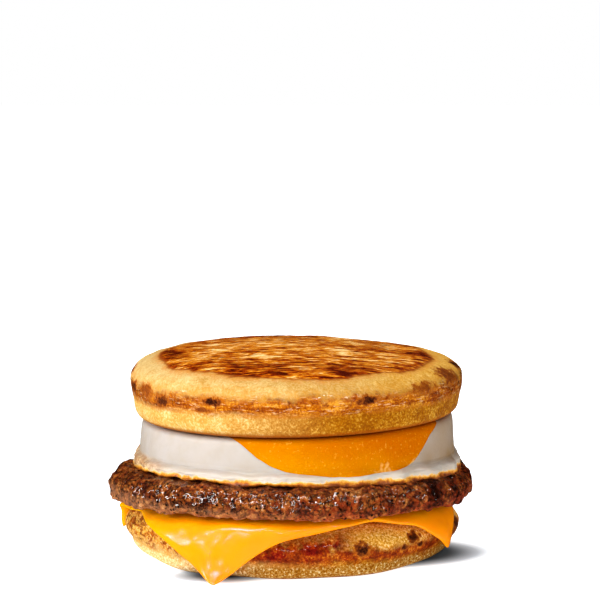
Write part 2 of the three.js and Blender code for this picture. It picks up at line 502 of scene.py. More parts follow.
# Colours of browning, from the least to the most.
CREAM_LEFT = ((0, "e2d09c"), (0.35, "d3b06c"), (0.65, "be8a3a"), (1, "a05c16"))
CREAM_RIGHT = ((0, "fcd888"), (0.35, "edb954"), (0.65, "da962a"), (1, "b2600e"))
FIELD = ((0, "ffe29c"), (0.2, "eea22e"), (0.45, "d07408"), (0.7, "a84000"), (0.85, "7a1e00"), (1, "480c00"))
CHARRED = ((0, "bd6e18"), (0.35, "96480c"), (0.7, "5c2608"), (1, "260c02"))
CRISP_EDGE = ((0, "ecd9b4"), (0.25, "edb75a"), (0.5, "dc8b1a"), (0.8, "a75510"), (1, "6c2e0a"))

# The cakes' grain: its size in millimetres, detail and roughness, and the part of its range that shows.
CAKE_GRAIN = (0.62, 3, 0.7)
GRAIN_RANGE = (0.28, 0.75)

# The browned field on the crown: its middle, how far it reaches, and where it browned most and how wide.
FIELD_MIDDLE = (0.8, -4.0)
FIELD_RADIUS = 37.8
DARK_PATCHES = (
    (-36, -8, 11),
    (-10, -34, 12),
    (15, -32, 12),
    (37, -2, 11),
    (0, 30, 14),
)

# Burnt spots: azimuth from the front, height on the side, half the width and height, and the burn's depth.
TOP_BURNS = (
    (-88, 13.4, 7.0, 1.5, 0.9),
    (-74, 10.2, 4.5, 2.2, 0.8),
    (-60, 10.4, 4.8, 2.6, 0.5),
    (-50, 8.8, 3.4, 2.2, 0.85),
    (-27, 10.0, 3.4, 1.5, 1),
    (-31, 7.6, 3.4, 0.9, 0.55),
    (11, 9.2, 1.6, 0.8, 0.8),
    (25, 9.6, 3.9, 1.7, 1),
    (48, 10.9, 5.8, 2.0, 0.5),
    (67, 11.9, 6.6, 2.9, 0.62),
    (82, 8.6, 3.0, 1.6, 0.9),
    (88, 12.8, 4.0, 1.8, 1),
    (-110, 11.0, 6.0, 2.4, 0.9),
    (150, 9.0, 4.0, 1.6, 1),
    (215, 8.4, 3.2, 1.4, 1),
)
BOTTOM_BURNS = (
    (23, 8.4, 3.0, 2.2, 1),
    (44, 9.8, 2.8, 1.9, 0.95),
    (39, 7.6, 1.8, 1.0, 1),
    (47, 7.4, 1.5, 1.0, 0.9),
    (78, 9.0, 5.0, 3.5, 0.9),
    (160, 8.0, 3.0, 1.6, 1),
    (230, 7.0, 3.4, 1.5, 1),
)
EGG_FLECKS = (
    (20, 1.6, 1.0, 0.4, 1),
    (-70, 3.6, 3.0, 0.5, 1),
    (170, 2.0, 1.2, 0.5, 1),
)


def crumb_colour(finish, grain):
    """Golden griddle batter with a fine open grain: pale points, darker pores, and richer to the right, where
    it is also darker with painted shade.
    """
    tone = grain + finish.drift(0.5, 5, 3, 0.6, seed=61)
    return finish.left_to_right(tone.rise(*GRAIN_RANGE), CRUMB_LEFT, CRUMB_RIGHT_PAINTED_SHADE, start=-30, end=14)


def toasted_colour(finish, grain):
    """Batter that met the griddle's rim: orange-brown in level streaks, with pale points."""
    streaks = finish.noise((7, 7, 0.8), 3, 0.6, seed=63, distortion=0.4)
    tone = grain * 0.5 + streaks * 0.5 + finish.drift(0.4, 5, seed=65)
    return finish.ramp(tone.rise(0.3, 0.7), TOASTED)


def burnt_spots(finish, height, radius, spots):
    """How burnt a layer's side is, from 0 to 1, for a table of ragged spots at that radius."""
    ragged = finish.drift(2.2, 1.8, 4, 0.65, seed=19)
    burnt = 0
    for azimuth, middle, half_width, half_height, depth in spots:
        x, y, _ = outward(azimuth, radius)
        aside = finish.away_from(x, y) / half_width
        above = (height - middle) / half_height
        spot = ((aside ** 2 + above ** 2) ** 0.5 + ragged).rise(1.3, 0.2)
        burnt = (spot * depth).at_least(burnt)
    return burnt


def charred(finish, colour, burnt, grain):
    """Chars a colour by a share from 0 to 1: red-brown at the rim of a burn, nearly black at its heart."""
    heart = burnt * 0.97 + (grain - 0.5) * 0.9
    return finish.mix(burnt.rise(0, 0.4), colour, finish.ramp(heart, CHARRED))


def cake_finish(name):
    """A matt batter, which only shines where a coat is laid over it."""
    return Finish(name, Specular_IOR_Level=0.03, Coat_Roughness=0.12)


def cake_surface(finish, grain, shine, skin=0):
    """The bumps and the gloss that both cakes share. A skin has a finer surface than the open crumb."""
    finish.give("Roughness", 0.6 - shine * 0.35)
    finish.give("Coat Weight", shine)
    open_grain = 1 - skin * 0.65
    soft = finish.bump(finish.noise(2.6, seed=67) * open_grain, 0.7)
    finish.give("Normal", finish.bump(grain * open_grain, 0.6, 0.9, below=soft))


def upper_side_colour(finish, height, level, grain, speckle):
    """Open crumb at the foot, a toasted band round the middle, and smooth creamy batter up to the crown."""
    blotch = finish.noise(7, 3, 0.6, seed=4)
    mottle = 0.46 + (blotch - 0.5) * 0.55 + (speckle - 0.5) * 0.5 + (grain - 0.5)
    cream = finish.tinted(
        finish.left_to_right(mottle, CREAM_LEFT, CREAM_RIGHT, start=5, end=42),
        (finish.x.rise(-15, -42) * 0.15, "ead29c"),
        (level.rise(15, 10.5) * 0.7, "b27822"),
    )
    baked = finish.mix(level.rise(5.4, 8), crumb_colour(finish, grain), toasted_colour(finish, grain))
    side = finish.mix((level + (speckle - 0.5) * 5).rise(9.6, 12.2), baked, cream)
    # Pale streaks through the band are painted glints.
    painted_glint_strokes = finish.noise((2.8, 2.8, 0.55), 3, 0.7, seed=73, distortion=0.4).rise(0.56, 0.66)
    painted_glint_strokes = painted_glint_strokes * level.band(6.6, 11.6, 1)
    rim = (level + (blotch - 0.5) * 6).band(9.5, 14, 1.5) * (speckle + grain * 0.5).rise(0.62, 0.85)
    line = level.band(9.9, 10.8, 0.8) * finish.noise(4, 3, 0.6, seed=31).rise(0.44, 0.6)
    seam = height.band(6, 6.7, 0.5) * finish.noise(9, seed=37).rise(0.35, 0.55)
    foot = height.rise(1.9, 0.7)
    return finish.tinted(
        side,
        (painted_glint_strokes * 0.5, "f4c88c"),
        (rim * 0.3, "cb8528"),
        (line * 0.65, "a84e0a"),
        (seam * 0.55, "b4620c"),
        (foot * 0.85, "9a4806"),
    )


def browned_crown(finish, height, side, speckle):
    """The flat of the griddle browned the crown in streaks, darkest along the field's uneven border."""
    wander = finish.drift(6, 13, 3, seed=3)
    beyond = finish.away_from(*FIELD_MIDDLE) - FIELD_RADIUS + wander
    streaks = finish.noise((9, 2.4, 9), 3, 0.65, seed=5, distortion=0.6)
    fine_streaks = finish.noise((4.5, 1.2, 4), 3, 0.75, seed=15, distortion=0.3)
    patches = finish.drift(1.3, 14, 3, 0.55, seed=11)
    browning = 0.485 + (streaks - 0.5) * 1.3 + (fine_streaks - 0.5) * 3.3 + patches
    browning = browning + beyond.rise(-6.8, -0.8) * 0.15
    for x, y, width in DARK_PATCHES:
        browning = browning + (finish.away_from(x, y) + wander).rise(width, width * 0.2) * 0.32
    crown = height.rise(12, 14)
    glow = (beyond + (speckle - 0.5) * 6).rise(3.2, -0.3) * crown
    edge = beyond + (fine_streaks - 0.5) * 2.5
    colour = finish.mix(glow * 0.75, side, "cc7a20")
    colour = finish.mix(edge.rise(0.5, -0.5) * crown, colour, finish.ramp(browning, FIELD))
    return finish.mix(edge.band(-0.6, 0.4, 0.5) * crown * 0.7, colour, "8a3806")


def upper_cake_finish():
    """Heights are from the cake's tipped foot. A level wavers, so that no border runs straight."""
    finish = cake_finish("upper_griddle_cake")
    height = finish.z - finish.x * TIP_SLOPE - TOP_CAKE_Z
    level = height + finish.drift(3, 8, 3, 0.6, seed=17)
    grain = finish.noise(*CAKE_GRAIN)
    speckle = finish.noise(2.2, 3, 0.6, seed=71)
    side = upper_side_colour(finish, height, level, grain, speckle)
    colour = browned_crown(finish, height, side, speckle)
    burnt = burnt_spots(finish, height, TOP_CAKE_RADIUS - 1, TOP_BURNS)
    finish.give("Base Color", charred(finish, colour, burnt, grain))
    glazed = level.band(6.8, 12, 1) * finish.noise(3, 3, 0.6, seed=51).rise(0.42, 0.6)
    cake_surface(finish, grain, glazed * (1 - burnt), level.rise(10.4, 12.4))
    return finish


def sunk_by(finish):
    """How far the lattice has sunk the stack's sides at a place."""
    return (abs(finish.x) / SAG_REACH) ** SAG_POWER * SIDE_SAG


def browned_band(finish, level, front):
    """How browned the lower cake's side is, from 0 to 1: a band all round, higher in front, and flecks."""
    band = level.band(5, 9, 1.6).at_least(level.band(5, 12, 1.8) * front)
    band = band * finish.noise(4, 4, 0.65, seed=47).rise(0.16, 0.46) * finish.x.rise(-34, -20).at_least(0.25)
    patches = finish.noise(3.2, 4, 0.65, seed=49).rise(0.5, 0.62)
    patches = patches * level.band(8, 12.5, 1.2) * finish.x.rise(16, 0)
    flecks = finish.noise((1.43, 4.95, 1.32), 4, 0.75, seed=53).rise(0.5, 0.56)
    flecks = flecks * level.band(5.5, 13, 1.2) * finish.x.rise(-16, -28)
    return band.at_least(patches).at_least(flecks * 0.9)


def lower_cake_finish():
    """Heights are from the cake's level foot, before its sides sank."""
    finish = cake_finish("lower_griddle_cake")
    height = finish.z + sunk_by(finish) * finish.z / BOTTOM_CAKE_HEIGHT
    level = height + finish.drift(5, 9, 3, 0.65, seed=41)
    grain = finish.noise(*CAKE_GRAIN)
    tone = grain.rise(*GRAIN_RANGE)
    golden = finish.left_to_right(tone, GOLDEN_LEFT, GOLDEN_RIGHT, start=-40, end=-22)
    colour = finish.mix(height.rise(6.5, 8.5), crumb_colour(finish, grain), golden)
    foot = height.rise(5, 3.4)
    colour = finish.mix(foot * finish.x.rise(0, -26), colour, finish.ramp(tone, FOOT_LEFT))
    # Painted shade over the foot towards the right.
    colour = finish.mix(foot * finish.x.rise(-24, -8) * 0.9, colour, finish.ramp(tone, FOOT_PAINTED_SHADE))
    front = finish.x.band(-24, 16, 5)
    stain = front * finish.noise(4, 4, 0.6, seed=55).rise(0.44, 0.6)
    coarse = (finish.noise(2.6, 4, 0.65, seed=43) * 0.6 + grain * 0.4).rise(0.33, 0.68)
    browned = finish.mix(stain, finish.ramp(coarse, BROWNED), finish.ramp(coarse, STAINED))
    band = browned_band(finish, level, front)
    colour = finish.mix(band, colour, browned)
    colour = finish.mix(height.rise(1.3, 0.2) * 0.75, colour, "7c3a10")
    burnt = burnt_spots(finish, height, BOTTOM_CAKE_RADIUS - 0.5, BOTTOM_BURNS)
    finish.give("Base Color", charred(finish, colour, burnt, grain))
    cake_surface(finish, grain, band * 0.3 * (1 - burnt))
    return finish


def cheese_finish():
    """Smooth processed cheese: glossy and cloudy orange, with painted light that makes it paler near its top
    under the patty and over the corner that hangs on the left.
    """
    finish = Finish(
        "processed_cheese",
        Specular_IOR_Level=0.5,
        Specular_Tint=(1, 0.45, 1, 1),
        Subsurface_Weight=0.3,
        Subsurface_Scale=0.003,
        Subsurface_Radius=(1, 0.45, 0.05),
    )
    cloudy = finish.noise(16, 3)
    # Painted light over the corner that hangs on the left, where it lies in shade.
    aside = finish.x.rise(-26, -48) * finish.y.rise(30, 8)
    colour = finish.tinted(
        finish.mix(cloudy.rise(0.3, 0.7), "ff9200", "fb8800"),
        # Painted light near the top, where the patty shades the slice.
        (finish.z.rise(12, 16) * 0.5, "ffa000"),
        (aside * 0.75, "ffb200"),
    )
    finish.give("Base Color", colour)
    finish.give("Roughness", 0.13 + finish.noise(3, 3, seed=3) * 0.1)
    waves = finish.bump(finish.noise(9, seed=16), 0.6, 0.6)
    finish.give("Normal", finish.bump(finish.noise(3, 3, seed=6), 0.1, 0.5, below=waves))
    return finish


def egg_white_finish():
    """Cooked white with painted shade to the right, and a skirt that is crisp at its edge and browned on the
    left.
    """
    finish = Finish(
        "cooked_egg_white",
        Specular_IOR_Level=0.3,
        Subsurface_Weight=0.3,
        Subsurface_Scale=0.004,
        Subsurface_Radius=(1, 0.7, 0.45),
        Coat_Weight=0.15,
        Coat_Roughness=0.15,
    )
    height = finish.z + sunk_by(finish) - EGG_Z
    # Painted shade over the right-hand side, in patches, and less on the skirt's roll.
    painted_shade_patches = finish.noise(7, 3, seed=29).rise(0.3, 0.75) * height.rise(10, 4)
    painted_shade_right = finish.x.rise(20, 44) * (0.6 + painted_shade_patches * 0.4) * (0.2 + height.rise(2.8, 4.6) * 0.8)
    left = finish.x.rise(-32, -42) * height.rise(4.6, 2.4)
    lace = left * finish.noise(1.7, 3, 0.65, seed=8).rise(0.4, 0.62)
    body = finish.tinted(
        finish.mix(finish.noise(9, 3, seed=2).rise(0.35, 0.7), "b2a8a0", "ac9f91"),
        (height.rise(4, 1) * 0.5, "dfd2c0"),
        (painted_shade_right, "8f6c40"),
        (left * 0.6, "deb26c"),
        (lace * 0.85, "8c4c10"),
    )
    crisp = (height + finish.drift(3, 3, 4, 0.65, seed=7)).rise(1.9, -0.1)
    colour = finish.mix(crisp.rise(0.02, 0.3), body, finish.ramp(crisp, CRISP_EDGE))
    flecks = burnt_spots(finish, height, ROLL_RADIUS, EGG_FLECKS)
    finish.give("Base Color", finish.mix(flecks * 0.8, colour, "a85a1c"))
    finish.give("Roughness", 0.32 + finish.noise(3, 3, seed=5) * 0.2)
    pores = finish.bump(finish.noise(2.2, 3, seed=4), 0.15)
    folds = finish.noise((16, 16, 1.3), 3, 0.6, seed=9, distortion=0.5) * height.band(0.6, 4.2, 0.6)
    finish.give("Normal", finish.bump(folds, 0.7, 0.8, below=pores))
    return finish


def egg_yolk_finish():
    """Set yolk: matt, darker orange to the right and upwards by painted shade and some random tone, with pale
    speckles and a few veins.
    """
    finish = Finish(
        "set_egg_yolk",
        Specular_IOR_Level=0,
        Subsurface_Weight=0.3,
        Subsurface_Scale=0.003,
        Subsurface_Radius=(1, 0.5, 0.05),
    )
    height = finish.z - EGG_Z
    # Darker to the right and upwards: painted shade, with some random tone.
    painted_shade_and_tone = finish.x.rise(-5, 38) * 0.55 + height.rise(3, 12) * 0.55 + finish.drift(0.6, 9, 3, seed=2)
    veins = finish.lines(8, seed=33) * finish.x.rise(18, 26) * height.rise(6, 4)
    speckle = finish.noise(0.8, 2, 0.6, seed=4).rise(0.58, 0.74)
    colour = finish.tinted(
        finish.mix(painted_shade_and_tone.rise(0, 1), "c67a00", "b65a00"),
        (veins * 0.4, "ffd07a"),
        (speckle * 0.25, "ffbe3c"),
    )
    finish.give("Base Color", colour)
    finish.give("Roughness", 0.4 + finish.noise(2, 3, seed=5) * 0.2)
    finish.give("Normal", finish.bump(finish.noise(0.9, 3, 0.6, seed=4), 0.15, 0.7))
    return finish


def meat_finish():
    """Browned mince: lumps and fibres, holes and crevices painted near black as shade, painted shade in the
    hollows and under the egg's skirt, and fat that stands wet round the rim.
    """
    finish = Finish("browned_minced_meat", Specular_IOR_Level=0.1, Coat_Roughness=0.03, Coat_IOR=1.8)
    height = finish.z - PATTY_Z
    rim = height.band(1.2, 6.4, 1.4)
    # Lighter on raised lumps and darker in hollows: painted shade.
    painted_shade_by_pointiness = finish.node("ShaderNodeNewGeometry", {}, {}, "Pointiness").rise(0.42, 0.55)
    blotch = finish.noise(4.5, 4, 0.6, seed=2)
    fibres = finish.noise((3.6, 3.6, 0.8), 3, 0.65, seed=21, distortion=0.9)
    grain = finish.noise(1.1, 3, 0.65, seed=23)
    seared = finish.x.rise(18, 38) * finish.noise(8, 3, 0.6, seed=29).rise(0.4, 0.6)
    tone = blotch * 0.9 + fibres * 0.6 + (grain - 0.5) * 1.2 + painted_shade_by_pointiness * 0.3 - seared * 0.3 - 0.44
    pale = height.rise(3.4, 0.8) * finish.x.rise(30, -30)
    reddish = finish.noise(3, 3, 0.6, seed=25).rise(0.42, 0.58) * finish.x.rise(-20, 10) * height.rise(6.5, 4)
    # Painted shade where the patty's top runs under the egg's skirt.
    beyond_roll = finish.away_from(0, 0) - ROLL_RADIUS + (grain - 0.5) * 3
    painted_shade_under_egg = beyond_roll.rise(2.7, 0) * height.rise(5.5, 6.8)
    # Dark crevices and near-black holes: painted shade, in places that the bump also carves.
    cracks_with_painted_shade = finish.lines(2.8, seed=57) * (0.45 + rim * 0.55)
    pits_with_painted_shade = finish.cells(1.5, seed=9).rise(0.32, 0.14) * finish.noise(3, seed=10).rise(0.4, 0.5)
    colour = finish.tinted(
        finish.ramp(tone, MEAT),
        (pale * 0.35, "a87c56"),
        (reddish * 0.5, "ac380a"),
        (painted_shade_under_egg * 0.6, "2c0a02"),
        (cracks_with_painted_shade * 0.85, "180400"),
        (pits_with_painted_shade, "080100"),
    )
    pools = 0.5 + finish.noise(9, seed=12).rise(0.4, 0.56) * 0.5
    wet = finish.noise(2.6, 3, 0.6, seed=6).rise(0.32, 0.46) * (0.15 + rim * 0.85) * pools
    finish.give("Base Color", colour)
    finish.give("Roughness", 0.6 - wet * 0.3)
    finish.give("Coat Weight", wet)
    lumps = finish.bump(finish.noise(1.2, 4, 0.66, seed=8) * (0.4 + rim * 0.6), 2.3)
    finish.give("Normal", finish.bump(1 - pits_with_painted_shade.at_least(cracks_with_painted_shade), 0.5, below=lumps))
    return finish


# Pieces

def cake_outline(radius, height, foot, band, waist, flat, crown, groove=0.9, bulge=0.6, pressed=0):
    """A cake's cage: flat foot, pale lower band, groove, browned band, rounded shoulder and crown."""
    base = [(0, 0), (foot * 0.5, 0), (foot * 0.9, 0), (foot, 0)]
    side = curve((foot, 0), (radius - groove / 2, bulge), (radius - groove, band), 3)
    waistline = curve(side[-1], (radius - groove / 4, band + 0.8), (radius, waist), 2)
    shoulder = quarter((flat, waist), radius - flat, height - waist, 5)
    shares = (0.86, 0.66, 0.44, 0.22, 0)
    top = [(flat * share, height + crown * (1 - share * share) - pressed) for share in shares]
    return base + side + waistline + shoulder + top


# A cake's relief, from its broad waves to its pores: the grain's size, the depth and the noise's layers.
CAKE_RELIEF = (
    (24, 1.1, 1),
    (6.5, 0.55, 2),
    (1.9, 0.28, 2),
)


def griddle_cake(name, floor, aside=0, bulges=(), **sizes):
    """A cake of these sizes in its place in the stack, with a fine relief on all but its flat foot."""
    cake = turned(name, cake_outline(**sizes), floor, 64)
    push_each(cake, bulges)
    smooth_cage(cake, 3)
    weigh(cake, "open", lambda radius, z: smoothstep(z - floor, 0.1, 2.5))
    for size, depth, layers in CAKE_RELIEF:
        relief(cake, size, depth, layers, group="open")
    settle(cake, aside)
    return cake


# Where the lower cake's foot spreads further than a circle: a place, how far that goes, and the reach.
FOOT_BULGES = (
    ((-27.0, -32.0, 0.0), (-1.2, -3.0, 0.0), 18),
    ((-3.0, -42.0, 0.0), (0.0, -1.8, 0.0), 18),
    ((20.0, -37.0, 0.0), (0.4, -2.0, 0.0), 18),
)


def build_bottom_cake():
    cake = griddle_cake(
        "lower_cake",
        floor=0,
        bulges=FOOT_BULGES,
        radius=BOTTOM_CAKE_RADIUS,
        height=BOTTOM_CAKE_HEIGHT,
        foot=42.2,
        band=4.4,
        waist=8.2,
        flat=36,
        crown=0,
        groove=2,
        bulge=1.4,
    )
    rest_on_floor(cake)
    hand_over(cake, "bottom_griddle_cake", lower_cake_finish())


def build_top_cake():
    cake = griddle_cake(
        "upper_cake",
        floor=TOP_CAKE_Z,
        aside=TOP_CAKE_ASIDE,
        radius=TOP_CAKE_RADIUS,
        height=17.5,
        foot=43.6,
        band=5.4,
        waist=10.8,
        flat=30,
        crown=2.1,
        pressed=0.3,
    )
    hand_over(cake, "top_griddle_cake", upper_cake_finish())


# A collar is a layer's rim, as (radius, height) from its lower face round to its upper one.
PATTY_COLLAR = (
    (40, 0), (43.5, -0.2), (47, -0.7), (49.8, -0.8), (51.4, 0.6), (51.9, 2.4), (51.8, 4.2), (51.2, 5.9),
    (49.6, 7.1), (47.4, 7.6), (45, 7.4), (42.5, 7.4), (40, 7.4),
)

# Dents in the patty's rim: azimuth from the front, how far in, how far down, and how wide.
PATTY_DENTS = (
    (-108, 5.0, 1.6, 20),
    (-20, 0.7, 0, 9),
    (35, 0.8, 0, 8),
    (150, 1.2, 0.3, 14),
)


def build_patty():
    """A coarse rim, dented and then broken up by relief, from large lumps to fine mince."""
    patty = turned("browned_patty", PATTY_COLLAR, PATTY_Z, 112)
    rim = Vector((0, 0, PATTY_Z + 3.5))
    for azimuth, inward, down, reach in PATTY_DENTS:
        step = outward(azimuth, -inward) - Vector((0, 0, down))
        push(patty, outward(azimuth, PATTY_RADIUS) + rim, step, reach)
    smooth_cage(patty, 3)
    weigh(patty, "rim", lambda radius, z: smoothstep(radius, 40.5, 46))
    relief(patty, 20, 1, group="rim", seed=0.2)
    relief(patty, 6, 1.8, 2, group="rim")
    relief(patty, 3.4, -1.7, group="rim", basis="VORONOI_F1")
    relief(patty, 1.3, 0.4, group="rim")
    close_collar(patty)
    settle(patty, PATTY_ASIDE)
    hand_over(patty, "meat_patty", meat_finish())


# The egg's collar: its lower face, the skirt's edge and roll, the upright wall and the upper face.
EGG_COLLAR = (
    (38, 0), (42, 0), (45.6, -0.2), (47, -0.3), (47.3, 0.4), (46.8, 1.2), (47, 2), (46.5, 2.8), (44.9, 3.3),
    (45.3, 4.4), (45.1, 7), (44.8, 9.6), (44.6, 11.3), (43.6, 12.4), (41.2, 12.5), (37, 12.5),
)

# How far the skirt's thin edge stands above its level, by azimuth from the front.
SKIRT_EDGE = (
    (-79, 0.6), (-62, 1.2), (-43, 0.5), (-32, 1.1), (-21, -0.3), (-10, 1.2), (0, 0.3), (12, -0.2), (18, -0.7),
    (25, 0.6), (34, -0.7), (54, -0.8), (81, -1.1), (120, 0.8), (150, -0.6), (190, 0.9), (230, -0.5),
)

# Lumps of the skirt's roll: azimuth, and how far each one swells.
SKIRT_LUMPS = (
    (-58, 0.8), (-47, -0.6), (-36, 0.8), (-22, -0.6), (4, 0.6), (14, -0.6), (22, 1.2), (28, -0.8), (36, 1.4),
    (42, -0.8), (51, 1.5), (58, -1.0), (65, 1.4), (73, -0.8), (80, 1.2), (120, 0.9), (145, -0.7), (200, 1.0),
    (240, -0.7),
)


def egg_from_ring():
    """The round egg in one piece: a ring's upright wall, and the skirt that ran out under the ring."""
    egg = turned("egg_white_round", EGG_COLLAR, EGG_Z, 72)
    edge = Vector((0, 0, EGG_Z))
    roll = Vector((0, 0, EGG_Z + 2))
    for azimuth, rise in SKIRT_EDGE:
        push(egg, outward(azimuth, SKIRT_RADIUS) + edge, (0, 0, rise), 6)
    for azimuth, swell in SKIRT_LUMPS:
        step = outward(azimuth, swell) + Vector((0, 0, swell * 0.5))
        push(egg, outward(azimuth, ROLL_RADIUS) + roll, step, 3.5)
    push(egg, outward(90, SKIRT_RADIUS) + roll, (-1.1, 0, 0), 18)
    smooth_cage(egg, 3)
    weigh(egg, "skirt", lambda radius, z: smoothstep(radius, 43, 46) * smoothstep(z - EGG_Z, 4.6, 2.4))
    weigh(egg, "hem", lambda radius, z: smoothstep(radius, 43, 46.5) * smoothstep(z - EGG_Z, 3, 1))
    weigh(egg, "wall", lambda radius, z: smoothstep(radius, 39, 43))
    relief(egg, 26, 1, group="wall")
    relief(egg, 5, 1.2, 2, group="hem", direction="Z")
    relief(egg, 8, 1.4, 2, group="skirt")
    relief(egg, 2.6, 1.2, 2, group="skirt", stretch=(1.6, 1.6, 0.7))
    relief(egg, 1.1, 0.3, group="hem")
    close_collar(egg)
    return egg


# The bowl's outline from the middle of its floor, up its side and back over its flat top.
YOLK_OUTLINE = (
    (0, 2.1), (9, 2.1), (18, 2.1), (22.6, 3.6), (25.4, 6.2), (28, 9.4), (30.5, 13), (31.5, 16), (15, 16),
    (0, 16),
)
YOLK_AZIMUTH = 18.5
YOLK_OFFSET = 28

# Where the yolk's border bends: a place, how far that goes, and the reach.
YOLK_MOVES = (
    ((38.5, -28.0, EGG_Z + 9.5), (-2.2, 0, 0), 7),
    ((36.0, -30.0, EGG_Z + 6), (-1.3, 0, 0), 6),
    ((-17.0, -34.0, EGG_Z + 9.5), (1.6, 0, -0.6), 7),
)


def yolk_bowl():
    """The broad bowl of yolk that reaches past the egg's wall and top, just right of the front."""
    bowl = turned("yolk_bowl", YOLK_OUTLINE, EGG_Z, 40)
    bpy.ops.transform.translate(value=outward(YOLK_AZIMUTH, YOLK_OFFSET) * MM)
    bpy.ops.object.transform_apply(location=True, rotation=True, scale=True)
    push_each(bowl, YOLK_MOVES)
    smooth_cage(bowl, 2)
    relief(bowl, 13, 1.2, 2)
    relief(bowl, 3, 0.4)
    return bowl


def build_egg():
    """The bowl parts the egg: what lies inside it becomes the yolk, and the rest stays white."""
    egg = egg_from_ring()
    bowl = yolk_bowl()
    yolk = egg.copy()
    yolk.data = egg.data.copy()
    yolk.name = "yolk_face"
    bpy.context.scene.collection.objects.link(yolk)
    modify(yolk, "BOOLEAN", operation="INTERSECT", object=bowl, solver="MANIFOLD")
    modify(egg, "BOOLEAN", operation="DIFFERENCE", object=bowl, solver="MANIFOLD")
    bpy.data.objects.remove(bowl)
    settle(egg, EGG_ASIDE)
    settle(yolk, EGG_ASIDE)
    hand_over(egg, "egg_white", egg_white_finish())
    hand_over(yolk, "egg_yolk", egg_yolk_finish())


# How the slice's hanging edges differ from the plain drape: a place on it, how far that goes, and the reach.
CHEESE_MOVES = (
    ((-39.1, -22.6, 14.7), (-2.0, -1.0, -1.6), 13),
    ((-36.5, -29.5, 14.2), (-2.0, -0.6, -1.2), 12),
    ((-30.5, -40.0, 10.5), (-3.1, 0.0, -2.3), 19),
    ((-46.1, -3.9, 11.7), (-0.2, -0.4, -2.0), 8),
    ((-42.7, -11.5, 12.3), (-0.4, -0.6, -1.9), 8),
    ((-49.5, 3.1, 9.6), (-0.8, 0.0, -0.6), 4),
    ((-48.4, 15.8, 2.5), (-0.9, -0.5, -2.1), 10),
    ((-49.8, 13.3, 4.9), (-0.6, -0.5, -0.8), 3.5),
    ((-50.1, 6.0, 7.2), (-0.4, 0.0, 0.0), 3),
    ((-21.5, -51.0, 3.0), (-1.4, 0.0, -0.1), 10),
    ((-19.0, -52.5, 2.5), (1.2, 0.0, -0.3), 5),
    ((5.1, -46.7, 14.7), (0.0, -0.6, -1.1), 12),
    ((14.9, -42.6, 15.8), (0.0, -0.6, -0.7), 10),
    ((27.6, -37.4, 16.0), (0.0, -0.7, -1.2), 12),
    ((20.5, -40.0, 16.3), (0.0, 0.4, 0.9), 5),
    ((31.0, -35.5, 15.0), (0.0, -0.8, -0.4), 6),
    ((38.5, -31.5, 11.0), (-0.5, 0.0, -1.0), 9),
    ((46.2, -21.1, 7.9), (-1.2, 0.0, 0.0), 14),
    ((-20.0, -53.0, 2.0), (0.0, -1.0, -1.0), 5),
    ((-50.0, 4.5, 8.5), (-1.2, 0.0, 0.4), 6),
    ((-33.0, -34.0, 14.5), (-1.0, -1.2, 0.0), 9),
    ((-24.0, -42.0, 14.0), (-0.7, -1.5, 0.0), 9),
    ((-14.0, -45.5, 14.9), (-0.4, -1.6, 0.0), 9),
    ((-3.0, -47.0, 15.2), (0.0, -1.5, 0.0), 9),
    ((8.0, -46.0, 15.5), (0.2, -1.4, 0.0), 9),
    ((20.0, -42.0, 16.0), (0.5, -1.2, 0.0), 8),
    ((-27.1, -34.8, 15.9), (-2.6, -3.4, 0.3), 5),
    ((-26.0, -39.2, 14.9), (-2.0, -3.1, 0.8), 5),
    ((-19.4, -41.0, 16.0), (-1.7, -4.8, 0.2), 5),
    ((-17.4, -44.7, 14.9), (-0.9, -2.4, 0.3), 4),
    ((-13.4, -43.5, 16.5), (-0.6, -4.8, 0.1), 5),
    ((-12.0, -47.8, 14.9), (-0.3, -1.2, 0.0), 4),
    ((-8.3, -46.1, 16.2), (0.0, -3.6, 0.2), 5),
    ((-4.5, -43.9, 17.0), (0.0, -5.2, -0.3), 5),
    ((-3.0, -48.4, 15.2), (0.0, -1.6, 0.0), 4),
    ((0.4, -46.5, 15.6), (0.0, -3.2, 0.4), 5),
    ((3.9, -44.8, 16.0), (0.0, -3.8, 0.2), 5),
    ((7.3, -43.4, 16.5), (0.2, -3.8, -0.1), 5),
    ((10.5, -41.5, 16.8), (0.3, -3.8, -0.2), 5),
    ((-19.1, -48.1, 10.1), (0.0, -0.9, 0.0), 4),
    ((-23.0, -47.5, 7.0), (0.0, -1.4, 0.0), 4),
    ((-16.6, -49.6, 7.6), (0.0, -0.7, 0.0), 4),
)

